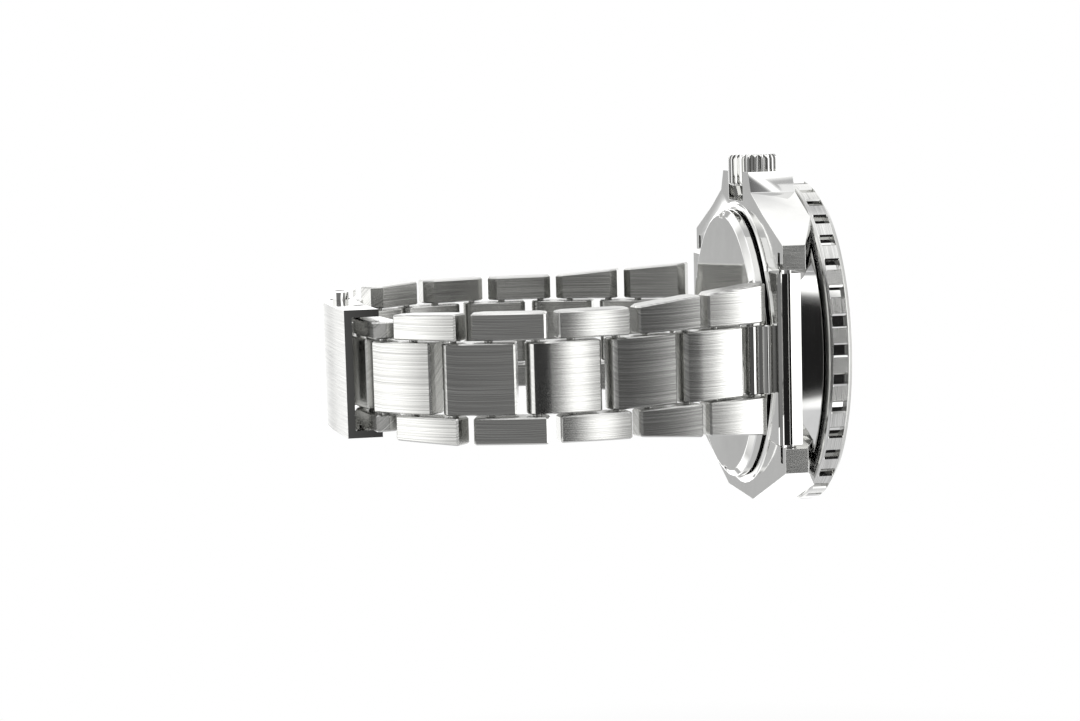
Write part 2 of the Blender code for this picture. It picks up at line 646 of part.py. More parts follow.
def build_clasp(watch):
    """Curved cover on the last link, two folding blades, their pins and the two buttons."""
    hinge_y, hinge_z = chain_end(HEADINGS_12)
    far_y, far_z = chain_end(HEADINGS_6)
    far_y = -far_y
    near_end = hinge_y + COVER_OVERHANG
    far_end = far_y + CENTRE_TAIL + LINK_THICKNESS / 2
    middle = (near_end + far_end) / 2
    reach = (near_end - far_end) / 2
    bend = (reach * reach + COVER_SAG * COVER_SAG) / (2 * COVER_SAG)
    deepest = hinge_z - LINK_THICKNESS / 2 - COVER_ROOM - COVER_WALL

    def under(y, height):
        """Height above the cover's outer face, at a place along the clasp."""
        return deepest + bend - math.sqrt(bend * bend - (y - middle) ** 2) + height

    def strip(first, last, low, high, steps=8):
        """Outline of a curved strip that follows the cover between two heights."""
        places = [first + (last - first) * i / steps for i in range(steps + 1)]
        lower = [(y, under(y, low)) for y in places]
        return lower + [(y, under(y, high)) for y in reversed(places)]

    half = COVER_WIDTH / 2
    cover_axis = empty("axis_clasp_cover", watch, (0, hinge_y, hinge_z))
    cover_pose = empty("clasp_frame", cover_axis, (0, -hinge_y, -hinge_z))
    cover = prism("clasp_cover", strip(far_end, near_end, 0, COVER_DEPTH), -half, half,
                  BRUSHED, cover_pose)
    hollow = prism("cover_hollow", strip(far_end - 2, near_end + 2, COVER_WALL, COVER_DEPTH + 4),
                   COVER_WALL - half, half - COVER_WALL, BRUSHED, cover_pose)
    use(cover, hollow)

    fold_y = hinge_y - 6.0
    fold_z = under(fold_y, COVER_WALL + GAP + KNUCKLE_RADIUS)
    root_y = far_end + 2.8
    root_z = under(root_y, COVER_WALL + GAP + KNUCKLE_RADIUS)
    pin_reach = half - 0.3
    use(cover, rods("cover_pin_holes", BORE_RADIUS, [
        (-half - 1, half + 1, hinge_y, hinge_z), (-half - 1, half + 1, root_y, root_z)],
        BRUSHED, cover_pose))
    rods("clasp_spring_bar_12", PIN_RADIUS, [(-pin_reach, pin_reach, hinge_y, hinge_z)],
         POLISHED, cover_pose)
    rods("blade_pin_cover", PIN_RADIUS, [(-pin_reach, pin_reach, root_y, root_z)],
         POLISHED, cover_pose)

    button_y = middle
    button_z = under(middle, COVER_WALL + GAP / 2 + BUTTON_RADIUS + GAP)
    use(cover, rods("button_holes", BUTTON_RADIUS + GAP,
                    [(-half - 1, half + 1, button_y, button_z)], BRUSHED, cover_pose))
    collar = half - COVER_WALL - GAP
    for side, name in ((1, "push_button_3"), (-1, "push_button_9")):
        outer = side * (half + BUTTON_PROUD)
        low, high = sorted((side * (collar - BUTTON_COLLAR / 2), outer))
        button = rods(name, BUTTON_RADIUS, [(low, high, button_y, button_z)], POLISHED,
                      cover_pose)
        low, high = sorted((side * (collar - BUTTON_COLLAR), side * collar))
        use(button, rods("button_collar", BUTTON_RADIUS + 0.4,
                         [(low, high, button_y, button_z)], POLISHED, cover_pose), "UNION")

    root_axis = empty("axis_blade_outer", cover_pose, (0, root_y, root_z))
    root_pose = empty("blade_outer_frame", root_axis, (0, -root_y, -root_z))
    blade = BLADE_WIDTH / 2
    low = COVER_WALL + GAP
    outer = prism("clasp_blade_outer", strip(root_y, fold_y, low, low + BLADE_THICKNESS),
                  -blade, blade, BRUSHED, root_pose)
    lip = 0.05
    knuckle_end = blade + lip
    use(outer, rods("outer_knuckles", KNUCKLE_RADIUS,
                    [(-knuckle_end, knuckle_end, root_y, root_z)],
                    BRUSHED, root_pose, sides=16), "UNION")
    tongue = blade / 2
    ear = tongue + GAP
    ears = [(-knuckle_end, -ear, fold_y, fold_z), (ear, knuckle_end, fold_y, fold_z)]
    use(outer, boxes("tongue_room", [((2 * (ear + lip), 4.2, 4.2),
                                      Matrix.Translation((0, fold_y, fold_z)))],
                     BRUSHED, root_pose))
    use(outer, rods("fold_ears", KNUCKLE_RADIUS, ears, BRUSHED, root_pose, sides=16), "UNION")
    use(outer, rods("outer_bores", BORE_RADIUS, [
        (-half, half, root_y, root_z), (-half, half, fold_y, fold_z)], BRUSHED, root_pose))
    rods("blade_pin_fold", PIN_RADIUS, [(0.2 - blade, blade - 0.2, fold_y, fold_z)],
         POLISHED, root_pose)

    fold_axis = empty("axis_blade_inner", root_pose, (0, fold_y, fold_z))
    fold_pose = empty("blade_inner_frame", fold_axis, (0, -fold_y, -fold_z))
    rise = BLADE_THICKNESS + 0.35
    start = low + rise
    clear_z = root_z + KNUCKLE_RADIUS + GAP
    tail_edge = far_y + LINK_THICKNESS / 2 + GAP + 0.5
    lower = [
        (fold_y - 0.4, under(fold_y, start)),
        (root_y + 8.5, under(root_y + 8.5, start)),
        (root_y + 2.6, clear_z - 0.1),
        (root_y, clear_z),
        (tail_edge, max(clear_z, far_z - BLADE_THICKNESS)),
    ]
    profile = lower + [(y, z + BLADE_THICKNESS) for y, z in reversed(lower)]
    fork = CENTRE_WIDTH / 2 + GAP + 0.15
    edge = fork + FORK_WALL + lip
    inner = prism("clasp_blade_inner", profile, -edge, edge, BRUSHED, fold_pose)
    waist = root_y + 4.0
    narrow = [
        ((edge, 40, 20), Matrix.Translation((side * (tongue + edge / 2), waist + 20, fold_z)))
        for side in (1, -1)
    ]
    use(inner, boxes("blade_waist", narrow, BRUSHED, fold_pose))
    tongue -= lip
    use(inner, rods("fold_tongue", KNUCKLE_RADIUS, [(-tongue, tongue, fold_y, fold_z)],
                    BRUSHED, fold_pose, sides=16), "UNION")
    arm = arc(1.0, 90, 270, 8, (far_y, far_z))
    arm += [(tail_edge + 1.4, lower[-1][1] + 0.05), (tail_edge + 1.4, lower[-1][1] + 0.95)]
    for side in (1, -1):
        first, second = sorted((side * fork, side * (fork + FORK_WALL)))
        use(inner, prism("fork_arm", arm, first, second, BRUSHED, fold_pose), "UNION")
    use(inner, rods("inner_bores", BORE_RADIUS, [(-half, half, fold_y, fold_z)],
                    BRUSHED, fold_pose))
    use(inner, rods("fork_holes", 0.6, [(-half, half, far_y, far_z)], BRUSHED, fold_pose,
                    sides=10))


# ---------------------------------------------------------------- assembly

def build_watch():
    """Whole watch: head, crown, both sides of the bracelet and the clasp."""
    watch = empty("watch", None, (0, 0, 0), (math.pi, -math.pi / 2, 0))
    build_case(watch)
    build_bezel(watch)
    build_dial_side(watch)
    build_movement(watch)
    build_crown(watch)
    for name, headings, turn in (("12", HEADINGS_12, 0.0), ("6", HEADINGS_6, math.pi)):
        side = empty("side_" + name, watch, (0, 0, 0), (0, 0, turn))
        build_end_link(side, name)
        last = build_chain(side, name, headings)
        if name == "6":
            reach = CENTRE_WIDTH / 2 + 0.1
            rods("clasp_spring_bar_6", PIN_RADIUS, [(-reach, reach, 0, -LINK_PITCH)],
                 POLISHED, last)
    build_clasp(watch)


build_watch()
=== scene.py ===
import json
import math

import bmesh
import bpy
import numpy as np
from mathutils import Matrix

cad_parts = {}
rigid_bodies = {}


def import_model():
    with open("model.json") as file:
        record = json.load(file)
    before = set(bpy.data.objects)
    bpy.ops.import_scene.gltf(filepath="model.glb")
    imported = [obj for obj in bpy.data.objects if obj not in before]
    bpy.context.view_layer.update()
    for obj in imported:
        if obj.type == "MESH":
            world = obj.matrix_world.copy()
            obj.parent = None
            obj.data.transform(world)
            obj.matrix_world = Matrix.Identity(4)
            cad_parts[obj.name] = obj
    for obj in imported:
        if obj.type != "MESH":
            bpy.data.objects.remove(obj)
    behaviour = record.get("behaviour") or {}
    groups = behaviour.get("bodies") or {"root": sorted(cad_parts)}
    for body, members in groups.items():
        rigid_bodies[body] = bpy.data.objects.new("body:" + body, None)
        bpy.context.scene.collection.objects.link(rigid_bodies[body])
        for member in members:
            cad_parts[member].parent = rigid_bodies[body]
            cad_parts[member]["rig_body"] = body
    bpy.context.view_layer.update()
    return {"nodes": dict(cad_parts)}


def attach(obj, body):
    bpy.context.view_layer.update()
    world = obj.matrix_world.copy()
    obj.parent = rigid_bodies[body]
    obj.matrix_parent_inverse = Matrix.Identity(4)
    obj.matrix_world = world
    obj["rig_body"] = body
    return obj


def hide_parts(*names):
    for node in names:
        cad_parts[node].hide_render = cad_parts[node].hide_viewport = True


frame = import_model()


# ---- Bracelet links ----
# Each link is an outer pair on its pressed cross pins with a centre link between. All are solid
# 316L stainless steel, milled, brushed along the bracelet on a belt, with every edge broken after.

MM = 0.001


def linear(code):
    """Linear colour with alpha of an sRGB hex code."""
    parts = [int(code[i:i + 2], 16) / 255 for i in (0, 2, 4)]
    return [p / 12.92 if p <= 0.04045 else ((p + 0.055) / 1.055) ** 2.4 for p in parts] + [1.0]


def add(made, kind, settings=None, **feeds):
    """Adds a node with its settings. A feed is named after an input, or n and its number, and is a
    value for that input or a pair, node and output, that is linked to it."""
    tree = made.node_tree
    node = tree.nodes.new(kind)
    for key, value in (settings or {}).items():
        setattr(node, key, value)
    for key, value in feeds.items():
        key = int(key[1:]) if key[0] == "n" and key[1:].isdigit() else key.replace("_", " ")
        if isinstance(value, tuple) and hasattr(value[0], "outputs"):
            tree.links.new(value[0].outputs[value[1]], node.inputs[key])
        else:
            node.inputs[key].default_value = value
    return node


def finished(name, marks_of, light, dark, smooth, coarse, relief, metallic):
    """Material whose colour, roughness and fine relief all follow one noise. marks_of adds that
    noise to the new material and returns it; the middle two fifths of it carry the contrast."""
    made = bpy.data.materials.new(name)
    made.use_nodes = True
    shader = made.node_tree.nodes["Principled BSDF"]
    marks = marks_of(made)
    tone = add(made, "ShaderNodeValToRGB", None, Fac=(marks, 0))
    for stop, place, code in zip(tone.color_ramp.elements, (0.3, 0.7), (dark, light)):
        stop.position = place
        stop.color = linear(code)
    rough = add(made, "ShaderNodeMapRange", None, Value=(marks, 0), To_Min=smooth, To_Max=coarse)
    scratch = add(made, "ShaderNodeBump", None, Height=(marks, 0), Strength=relief,
                  Distance=0.02 * MM)
    for node, socket in ((tone, "Base Color"), (rough, "Roughness"), (scratch, "Normal")):
        made.node_tree.links.new(node.outputs[0], shader.inputs[socket])
    shader.inputs["Metallic"].default_value = metallic
    return made, shader


def brushed(name, long, fine, light, dark, smooth, coarse, relief, lay):
    """Steel brushed along the first coordinate of a piece's own grain map, which is in millimetres.
    A mark is drawn long by fine millimetres, and lay is how far it stretches a highlight."""
    def marks_of(made):
        grain = add(made, "ShaderNodeUVMap", {"uv_map": "grain"})
        drawn = add(made, "ShaderNodeMapping", None, Vector=(grain, "UV"),
                    Scale=(1 / long, 1 / fine, 1.0))
        return add(made, "ShaderNodeTexNoise", None, Vector=(drawn, 0), Scale=1.0, Detail=3.0,
                   Roughness=0.75)

    made, shader = finished(name, marks_of, light, dark, smooth, coarse, relief, 1.0)
    run = add(made, "ShaderNodeTangent", {"direction_type": "UV_MAP", "uv_map": "grain"})
    made.node_tree.links.new(run.outputs[0], shader.inputs["Tangent"])
    shader.inputs["Anisotropic"].default_value = lay
    shader.inputs["Anisotropic Rotation"].default_value = 0.25
    return made


# Belt marks give fine dark and light streaks, and pull each highlight out across the link. Real
# marks are about 0.03 mm wide. They are drawn 0.1 mm wide and 200/7 mm long, so that they show
steel_brushed = brushed("Stainless steel 316L, satin brushed along the bracelet", 200 / 7, 0.1,
                        "DEDEDB", "8E8E8C", 0.18, 0.26, 0.05, 0.9)


def shape(name, shells, finish, body, replaced, crease=30):
    """One object made of closed skins. A skin is an array of rings x points x 5: the place in
    millimetres and two surface coordinates. Neighbouring rings are joined by quads; the first and
    last ring are capped with one face each, or joined to each other if the skin is endless."""
    points, faces, marks = [], [], []
    start = 0
    for rings, endless in shells:
        count, around = rings.shape[:2]
        first = start + np.arange(count * around).reshape(count, around)
        if endless:
            first = np.vstack([first, first[:1]])
        a, b = first[:-1], first[1:]
        quads = np.stack([a, np.roll(a, -1, 1), np.roll(b, -1, 1), b], -1).reshape(-1, 4)
        faces += quads.tolist()
        if not endless:
            faces += [first[0, ::-1].tolist(), first[-1].tolist()]
        points.append(rings[..., :3].reshape(-1, 3))
        marks.append(rings[..., 3:].reshape(-1, 2))
        start += count * around
    mesh = bpy.data.meshes.new(name)
    mesh.from_pydata((np.concatenate(points) * MM).tolist(), [], faces)
    work = bmesh.new()
    work.from_mesh(mesh)
    bmesh.ops.recalc_face_normals(work, faces=work.faces)
    work.to_mesh(mesh)
    work.free()
    corner = np.zeros(len(mesh.loops), np.int32)
    mesh.loops.foreach_get("vertex_index", corner)
    layer = mesh.uv_layers.new(name="grain")
    layer.data.foreach_set("uv", np.concatenate(marks)[corner].astype(np.float32).ravel())
    mesh.shade_smooth()
    mesh.set_sharp_from_angle(angle=math.radians(crease))
    mesh.materials.append(finish)
    piece = bpy.data.objects.new(name, mesh)
    bpy.context.scene.collection.objects.link(piece)
    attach(piece, body)
    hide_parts(*replaced)
    return piece


def inset(outline, amount):
    """Outline of points turned anticlockwise, with every side moved inwards by the amount: each
    point goes along the sum of its two sides' normals, longer the sharper the corner is."""
    ahead = np.roll(outline, -1, 0) - outline
    ahead /= np.linalg.norm(ahead, axis=1)[:, None]
    normal = np.stack([-ahead[:, 1], ahead[:, 0]], 1)
    before = np.roll(normal, 1, 0)
    lean = normal + before
    lean /= np.maximum(1 + (normal * before).sum(1), 0.4)[:, None]
    return outline + amount * lean


def slab(outline, near, far, edge):
    """Skin of a side outline (along, outward) carried straight across from its near places to its
    far ones. Both ends have a bevel: the outline is full one edge width in, and inset at the end."""
    step = edge * np.sign((far - near).mean())
    across = np.stack([near, near + step, far - step, far])
    tight = inset(outline, edge)
    return np.concatenate([np.stack([tight, outline, outline, tight]), across[..., None]], -1)


def tube(radius, along, outward, from_across, to_across, sides=16):
    """Skin of a round pin that lies across the bracelet: a circle carried along a straight line."""
    turn = np.arange(sides) * math.tau / sides
    ring = np.stack([along + radius * np.cos(turn), outward + radius * np.sin(turn)], -1)
    across = np.array([from_across, to_across])[:, None, None]
    return np.concatenate([np.tile(ring, (2, 1, 1)), np.tile(across, (1, sides, 1))], -1)


PITCH = 9.8                    # pin to pin
THICK = 3.4
HALF = THICK / 2
CROWNING = 0.11                # height of the gentle arch of the outer face
HEAD = 1.4                     # outer pair ahead of its pin
SLIT = 1.0                     # between one outer pair and the next
CENTRE = 8.5                   # width of a centre link
PLAY = 0.3                     # between a centre link and its outer pair
CENTRE_END = 1.25              # round end of a centre link past the next pin
TOP_BREAK = 0.22               # broken edge round the outer face
HEAD_CHAMFER = 0.9             # on the wrist side of an outer link, so that the next one can turn
FOOT_CHAMFER = 1.2
CENTRE_CHAMFER = 0.6
CENTRE_TOP = 0.3
EDGE_GRAIN = 0.8               # share of the thickness that the grain is stepped by at an edge
SIDE_BREAK = 0.18              # broken edge round a side
CENTRE_BREAK = 0.15
PIN = 0.5                      # radius
BITE = 0.8                     # length of pin held in each outer half
PRESS = 5.525                  # from a link's own pin to its second pressed pin
FIRST_PIN = (-1.6, -20.4)      # frame X and Y of the pin in the 12 o'clock end link
WIDTHS = (18.7, 17.2, 15.6, 15.5, 15.5, 15.0)
CLASP_WIDTH = 13.2
FACE_POINTS = 9
SIDES = {                      # frame side, heading of each link in degrees, links on loose screws
    "12": (1, (24, 20, 6, -14, -40, -78), (5, 6)),
    "6": (-1, (24, 20, 6, -14, -40), (4, 5)),
}


def arched(from_along, to_along, middle, reach, height):
    """Points of an outer face: at the given height in its middle, less by the square of the share
    of its half length."""
    along = np.linspace(from_along, to_along, FACE_POINTS)
    return np.column_stack([along, HALF - height * ((along - middle) / reach) ** 2])


end = PITCH - HEAD - SLIT
middle = (end - HEAD) / 2
outer_side = np.vstack([
    [(-HEAD, HALF - TOP_BREAK - CROWNING), (-HEAD, HEAD_CHAMFER - HALF),
     (HEAD_CHAMFER - HEAD, -HALF), (end - FOOT_CHAMFER, -HALF), (end, FOOT_CHAMFER - HALF),
     (end, HALF - TOP_BREAK - CROWNING)],
    arched(end - TOP_BREAK, TOP_BREAK - HEAD, middle, (end + HEAD) / 2, CROWNING)])
start = CENTRE_END + SLIT
middle = (PITCH + start) / 2
round_end = np.linspace(0, math.pi, 13)[:-2]
centre_side = np.vstack([
    [(start, HALF - CENTRE_TOP), (start, CENTRE_CHAMFER - HALF), (start + CENTRE_CHAMFER, -HALF)],
    np.column_stack([PITCH + CENTRE_END * np.sin(round_end), -HALF * np.cos(round_end)]),
    arched(PITCH - CENTRE_CHAMFER, start + TOP_BREAK, middle, (PITCH - start) / 2, 0.9 * CROWNING)])
inner = CENTRE / 2 + PLAY


def laid(skin, pin, forward, outward, mirror, travelled):
    """Skin of a link (along, outward, across) in the frame, and that it isn't endless. A point is at
    the pin, plus its first value times forward, plus its second times outward. The grain's first
    coordinate runs on from link to link, and its second goes across and round the edge."""
    flat = pin + skin[..., :1] * forward + skin[..., 1:2] * outward
    flat[..., 1] *= mirror
    return np.concatenate([flat, skin[..., 2:3], skin[..., :1] + travelled,
                           skin[..., 2:3] + EDGE_GRAIN * skin[..., 1:2]], -1), False


for side, (mirror, headings, loose) in SIDES.items():
    pin = np.array(FIRST_PIN)
    travelled = 0.0
    for number, heading in enumerate(headings, 1):
        turn = math.radians(heading)
        forward = np.array([-math.cos(turn), -math.sin(turn)])
        outward = np.array([math.sin(turn), -math.cos(turn)])
        spot = (pin, forward, outward, mirror, travelled)
        near, far = WIDTHS[number - 1:number + 1] if number < len(WIDTHS) else [CLASP_WIDTH] * 2
        reach = near / 2 + (far - near) / 2 * (outer_side[:, 0] + HEAD) / (end + HEAD)
        flank = np.full(len(outer_side), inner)
        shells = [laid(slab(outer_side, hand * flank, hand * reach, SIDE_BREAK), *spot)
                  for hand in (1, -1)]
        shells += [laid(tube(PIN, along, 0.0, -inner - BITE, inner + BITE), *spot)
                   for along in ([PRESS] if number in loose else [PRESS, 0.0])]
        name = f"{side}_{number}"
        shape("bracelet_outer_pair_" + name, shells, steel_brushed,
              "link_" + name, ["outer_pair_" + name], 25)
        flank = np.full(len(centre_side), CENTRE / 2)
        shape("bracelet_centre_link_" + name,
              [laid(slab(centre_side, -flank, flank, CENTRE_BREAK), *spot)], steel_brushed,
              "link_" + name, ["centre_link_" + name], 25)
        pin = pin + PITCH * forward
        travelled += PITCH


# ---- End links, clasp and its pins ----
# Milled 316L steel: polished end links held between the lugs by spring bars, a channel-shaped clasp
# cover with a satin outer face, two folding blades on hinge pins and two sprung push buttons.

def even(name, grain, light, dark, smooth, coarse, relief, metallic=1.0):
    """Material whose marks are a noise in the space of the piece, of the size in millimetres that
    is given for each axis of the frame."""
    def marks_of(made):
        place = add(made, "ShaderNodeTexCoord")
        drawn = add(made, "ShaderNodeMapping", None, Vector=(place, "Object"),
                    Scale=[1 / (size * MM) for size in grain])
        return add(made, "ShaderNodeTexNoise", None, Vector=(drawn, 0), Scale=1.0, Detail=5.0,
                   Roughness=0.7)

    return finished(name, marks_of, light, dark, smooth, coarse, relief, metallic)


# Belt marks run along the clasp, so they are 12.5 mm long on the frame's Y and 1/6 mm wide, a few
# times wider than the real ones so that they show, and they blur what the steel mirrors
steel_clasp = even("Stainless steel 316L, satin brushed clasp", (4.0, 12.5, 1 / 6),
                   "CFCFCC", "A4A4A2", 0.2, 0.3, 0.05)[0]
# Polishing leaves a clear mirror with faint soft clouds, about 11 mm across, where it is less crisp
steel_mirror = even("Stainless steel 316L, mirror polished", (100 / 9, 100 / 9, 100 / 9),
                    "D9D9D7", "CBCBC9", 0.025, 0.075, 0.03)[0]

END_WIDTH = 21.4
END_SEAT = 19.75               # radius of the hollow that lies against the case
KNUCKLE = 8.5                  # width of the part that holds the first pin
KNUCKLE_BREAK = 0.12
# Frame X and depth of the bar seen between the lugs, from a dark groove to a raised bright bar. A
# depth of 0 stands for the seat against the case
bar = np.array([(1.4, 0), (1.4, -22.3), (1.5, -22.42), (1.9, -22.5), (2.0, -22.6),
                (2.75, -22.6), (2.84, -22.35), (2.98, -22.35), (3.06, -22.6),
                (4.28, -22.51), (4.4, -22.4), (4.4, 0)])
stations = np.linspace(-END_WIDTH / 2, END_WIDTH / 2, 25)
stations[[0, -1]] *= 0.985
seat = -np.sqrt(END_SEAT ** 2 - stations ** 2)
depth = np.where(bar[:, 1] == 0, seat[:, None], bar[:, 1])
height = bar[:, 0] + 0 * depth
across = stations[:, None] + 0 * depth
# Two round ridges side by side: the one round the pin, and a smaller one nearer the dial
large, small = np.linspace(-2.2, 0.9, 9), np.linspace(-0.9, 1.3, 7)
ridges = np.vstack([
    np.column_stack([-1.6 + 1.15 * np.sin(large), -20.4 - 1.5 * np.cos(large)]),
    np.column_stack([0.35 + 0.85 * np.sin(small), -20.75 - np.cos(small)]),
    [(1.9, -20.9), (1.9, -19.6)]])
flank = np.full(len(ridges), KNUCKLE / 2)
knuckle = slab(ridges, -flank, flank, KNUCKLE_BREAK)
x, y, z = np.moveaxis(knuckle, -1, 0)
for side, name, mirror in (("12", "twelve", 1), ("6", "six", -1)):
    body = np.stack([height, depth * mirror, across, depth, height + across], -1)
    rolled = np.stack([x, y * mirror, z, z, x * 2 + y], -1)
    shape("end_link_" + name, [(body, False), (rolled, False)], steel_mirror,
          "case", ["end_link_" + side], 25)

SHARP = math.radians(28)       # edges turned further than this are rounded


def softened(node, name, finish, edge):
    """Copy of a CAD piece: its split corners are merged, its flat faces made whole, and its sharp
    edges rounded to the edge width in millimetres by a bevel of three steps."""
    mesh = frame["nodes"][node].data.copy()
    mesh.name = name
    work = bmesh.new()
    work.from_mesh(mesh)
    bmesh.ops.remove_doubles(work, verts=work.verts, dist=0.002 * MM)
    bmesh.ops.dissolve_limit(work, angle_limit=math.radians(0.5), verts=work.verts,
                             edges=work.edges)
    work.to_mesh(mesh)
    work.free()
    mesh.materials.clear()
    mesh.materials.append(finish)
    mesh.shade_smooth()
    mesh.set_sharp_from_angle(angle=SHARP)
    piece = bpy.data.objects.new(name, mesh)
    bpy.context.scene.collection.objects.link(piece)
    rounding = piece.modifiers.new("edge", "BEVEL")
    rounding.width = edge * MM
    rounding.segments = 3
    rounding.limit_method = "ANGLE"
    rounding.angle_limit = SHARP
    rounding.harden_normals = True
    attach(piece, frame["nodes"][node]["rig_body"])
    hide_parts(node)
    return piece


def refinish(piece, finish, chosen):
    """Gives the faces of a piece that are chosen, one true or false for each, a second finish."""
    piece.data.materials.append(finish)
    piece.data.polygons.foreach_set("material_index", chosen.astype(np.int32).ravel())


def faces_of(piece, what):
    """The normal or center of every face of a piece, faces x 3."""
    values = np.zeros(len(piece.data.polygons) * 3)
    piece.data.polygons.foreach_get(what, values)
    return values.reshape(-1, 3)


def dress(finish, *nodes):
    """Gives pieces that keep their CAD shape their finish."""
    for node in nodes:
        kept = frame["nodes"][node].data
        kept.materials.clear()
        kept.materials.append(finish)


# The cover's outer face looks towards -X, away from the wrist
cover = softened("clasp_cover", "clasp_cover_channel", steel_mirror, 0.28)
refinish(cover, steel_clasp, faces_of(cover, "normal")[:, 0] < -0.9)
softened("clasp_blade_outer", "clasp_outer_blade", steel_clasp, 0.12)
softened("clasp_blade_inner", "clasp_inner_blade", steel_clasp, 0.12)
softened("push_button_3", "clasp_button_three", steel_mirror, 0.15)
softened("push_button_9", "clasp_button_nine", steel_mirror, 0.15)
PINS = ("spring_bar", "link_screw", "clasp_spring", "blade_pin")
dress(steel_mirror, *[node for node in frame["nodes"] if node.startswith(PINS)])


# ---- Case, case back and crown ----
# Middle case milled from one bar of 316L steel with its four lugs and two crown guards, polished
# with satin lug tips; a screwed back with six key notches; a fluted crown fixed on its stem.

case = softened("case_middle", "case_polished", steel_mirror, 0.22)
LUG_TIP = 22.6                 # faces further out than this, and square to Y, are lug tips
refinish(case, steel_clasp, (np.abs(faces_of(case, "normal")[:, 1]) > 0.95)
         & (np.abs(faces_of(case, "center")[:, 1]) > LUG_TIP * MM))
softened("case_back", "case_back_screwed", steel_mirror, 0.2)

# The crown is a turned profile whose radius dips by the flute depth with the cosine of the turn,
# cut off flat between flutes. Each station is frame Z, radius and the share of the dip there
CROWN_X = 4.4
FLUTES = 22
FLUTE_DEPTH = 0.36
around = np.linspace(0, math.tau, FLUTES * 12, endpoint=False)
flute = np.clip(0.5 - 0.9 * np.cos(around * FLUTES), 0, 1)
place, radius, share = np.array([
    (23.2, 1.6, 0), (20.6, 1.6, 0), (20.6, 2.75, 0.2), (20.75, 2.98, 0.6), (21.0, 3.2, 1),
    (24.05, 3.2, 1), (24.4, 3.08, 1), (24.62, 2.85, 0.5), (24.7, 2.6, 0), (24.7, 1.2, 0)]).T
reach = radius[:, None] - FLUTE_DEPTH * share[:, None] * flute
level = place[:, None] + 0 * reach
rings = np.stack([CROWN_X + reach * np.cos(around), reach * np.sin(around), level,
                  around * 3 + 0 * reach, level], -1)
shape("crown_fluted", [(rings, False)], steel_mirror, "winding_crown", ["crown"],
      35)
dress(steel_mirror, "crown_tube", "crown_stem")


# ---- Bezel ----
# Turned 316L steel ring with milled slots round its edge for grip, brushed round on the lathe. The
# black anodised aluminium scale ring with its minute marks and luminous pip is pressed into it.

# Lathe marks follow the turn of the ring. Real ones are about 0.03 mm wide; these are drawn
# 1/9 mm wide and 10 mm long so that they show as streaks
steel_ring = brushed("Stainless steel 316L, circular brushed bezel", 10.0, 1 / 9,
                     "DCDCD9", "9A9A98", 0.14, 0.3, 0.2, 0.7)

SLOTS = 36
SLOT_PHASE = 1.9               # degrees from 12 o'clock to the first slot
RIM = 21.0
# Radius and height of the turned profile, and 1 where a slot cuts it
wall = [(20.2, 11.45, 0), (20.32, 11.43, 0), (20.84, 10.99, 0), (20.95, 10.9, 0), (RIM, 10.82, 0),
        (RIM, 10.76, 0), (RIM, 10.7, 1), (RIM, 9.8, 1), (RIM, 8.98, 1), (RIM, 8.88, 0),
        (RIM, 8.6, 0), (20.97, 8.48, 0), (20.8, 8.35, 0), (19.2, 8.35, 0), (19.2, 9.05, 0),
        (17.5, 9.05, 0), (17.5, 11.38, 0), (17.57, 11.45, 0), (17.73, 11.45, 0), (17.8, 11.38, 0),
        (17.8, 10.7, 0), (20.0, 10.7, 0), (20.0, 11.4, 0), (20.05, 11.45, 0)]
# Degrees from the middle of a slot and the depth there
pattern = np.array([(-5, 0), (-3.4, 0), (-2.35, 0), (-1.75, 0.2), (-1.5, 0.8), (0, 0.8),
                    (1.5, 0.8), (1.75, 0.2), (2.35, 0), (3.4, 0)])
turns = (np.arange(SLOTS)[:, None] * 360 / SLOTS + pattern[:, 0] + SLOT_PHASE).ravel()
depth = np.tile(pattern[:, 1], SLOTS)
radius, height, share = np.array(wall).T
# The wall is carried round the dial's axis, and its radius is less by the slot's depth there
reach = radius - depth[:, None] * share
turn = np.radians(turns)[:, None]
rings = np.stack([height + 0 * reach, -reach * np.cos(turn), reach * np.sin(turn),
                  turn * RIM + 0 * reach, height - radius + 0 * reach], -1)
ring = shape("bezel_ring_slotted", [(rings, True)], steel_ring, "bezel",
             ["bezel_ring"], 25)
# Slot floors and walls are left as milled, so they mirror the dark room instead of the soft light
deep = (np.minimum(depth, np.roll(depth, -1)) > 0.15) | (np.abs(depth - np.roll(depth, -1)) > 0.1)
refinish(ring, steel_mirror, deep[:, None] & (np.maximum(share, np.roll(share, -1)) > 0))

# Anodising gives a soft black satin. Its mottle is finer than a tenth of a millimetre, and is drawn
# 1.1 mm across so that it shows
black_insert = even("Aluminium, black anodised scale ring", (10 / 9, 10 / 9, 10 / 9),
                    "1A1A1C", "0E0E10", 0.25, 0.4, 0.1, 0.4)[0]
dress(black_insert, "bezel_insert")
dress(steel_mirror, "bezel_click_spring")


# ---- Dial side ----
# Brass dial in black lacquer with luminous markers cast on it and luminous hands over it, under a
# domed sapphire crystal on a moulded gasket. The movement sits behind it in a moulded holder.

# Luminous paint sets in grains of about 0.03 mm, drawn 1/6 mm across: a dull, faintly green speckle
lume = even("Luminous paint, cast in fine grains", [1 / 6] * 3, "DDE6CC", "CBD6B8", 0.5, 0.7, 0.15,
            0.0)[0]
# Matt lacquer has a fine tooth, drawn 1/3 mm across. Its pores swallow most of its gloss, so the
# dial stays black beside the steel
lacquer, shader = even("Brass dial, matt black lacquer", [1 / 3] * 3, "131316", "0B0B0D",
                       0.35, 0.5, 0.15, 0.0)
shader.inputs["Specular IOR Level"].default_value = 0.2
# Moulded rubber is dull with a soft grain of 0.4 mm
rubber = even("Nitrile rubber, moulded", [0.4] * 3, "1C1C1D", "101011", 0.6, 0.8, 0.15, 0.0)[0]
